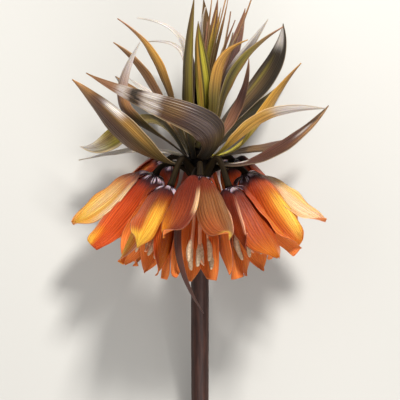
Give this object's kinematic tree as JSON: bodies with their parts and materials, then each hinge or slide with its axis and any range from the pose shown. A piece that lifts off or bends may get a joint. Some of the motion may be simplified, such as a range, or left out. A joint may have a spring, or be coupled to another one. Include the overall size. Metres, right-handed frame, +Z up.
{
  "type": "crown imperial fritillary",
  "caption": "Picked crown imperial flower lying down: a bare stalk with a ring of nodding orange bells under a crown of narrow leaves.",
  "frame": {"origin": "centre of the bounding box at the surface that the flower lies on", "axes": "+Z up from the surface, +Y from the stalk's cut end to the crown, +X to the right as seen from above"},
  "size_m": [0.1484, 0.3022, 0.1305],
  "materials": {
    "stalk": "satin",
    "flower_stalk": "satin",
    "petal": "satin",
    "stamen": "matte",
    "leaf": "satin"
  },
  "bodies": {
    "root": {"stem": "stalk", "flower_stalk_1": "flower_stalk", "bell_1": "petal", "stamens_1": "stamen", "flower_stalk_2": "flower_stalk", "bell_2": "petal", "stamens_2": "stamen", "flower_stalk_3": "flower_stalk", "bell_3": "petal", "stamens_3": "stamen", "flower_stalk_4": "flower_stalk", "bell_4": "petal", "stamens_4": "stamen", "flower_stalk_5": "flower_stalk", "bell_5": "petal", "stamens_5": "stamen", "flower_stalk_6": "flower_stalk", "bell_6": "petal", "stamens_6": "stamen", "flower_stalk_7": "flower_stalk", "bell_7": "petal", "stamens_7": "stamen", "flower_stalk_8": "flower_stalk", "bell_8": "petal", "stamens_8": "stamen", "crown_leaf_01": "leaf", "crown_leaf_02": "leaf", "crown_leaf_03": "leaf", "crown_leaf_04": "leaf", "crown_leaf_05": "leaf", "crown_leaf_06": "leaf", "crown_leaf_07": "leaf", "crown_leaf_08": "leaf", "crown_leaf_09": "leaf", "crown_leaf_10": "leaf", "crown_leaf_11": "leaf", "crown_leaf_12": "leaf", "crown_leaf_13": "leaf", "crown_leaf_14": "leaf", "crown_leaf_15": "leaf", "crown_leaf_16": "leaf", "crown_leaf_17": "leaf", "crown_leaf_18": "leaf", "crown_leaf_19": "leaf", "crown_leaf_20": "leaf", "crown_leaf_21": "leaf", "crown_leaf_22": "leaf", "crown_leaf_23": "leaf", "crown_leaf_24": "leaf", "crown_leaf_25": "leaf", "crown_leaf_26": "leaf", "crown_leaf_27": "leaf", "crown_leaf_28": "leaf", "crown_leaf_29": "leaf"}
  },
  "joints": []
}
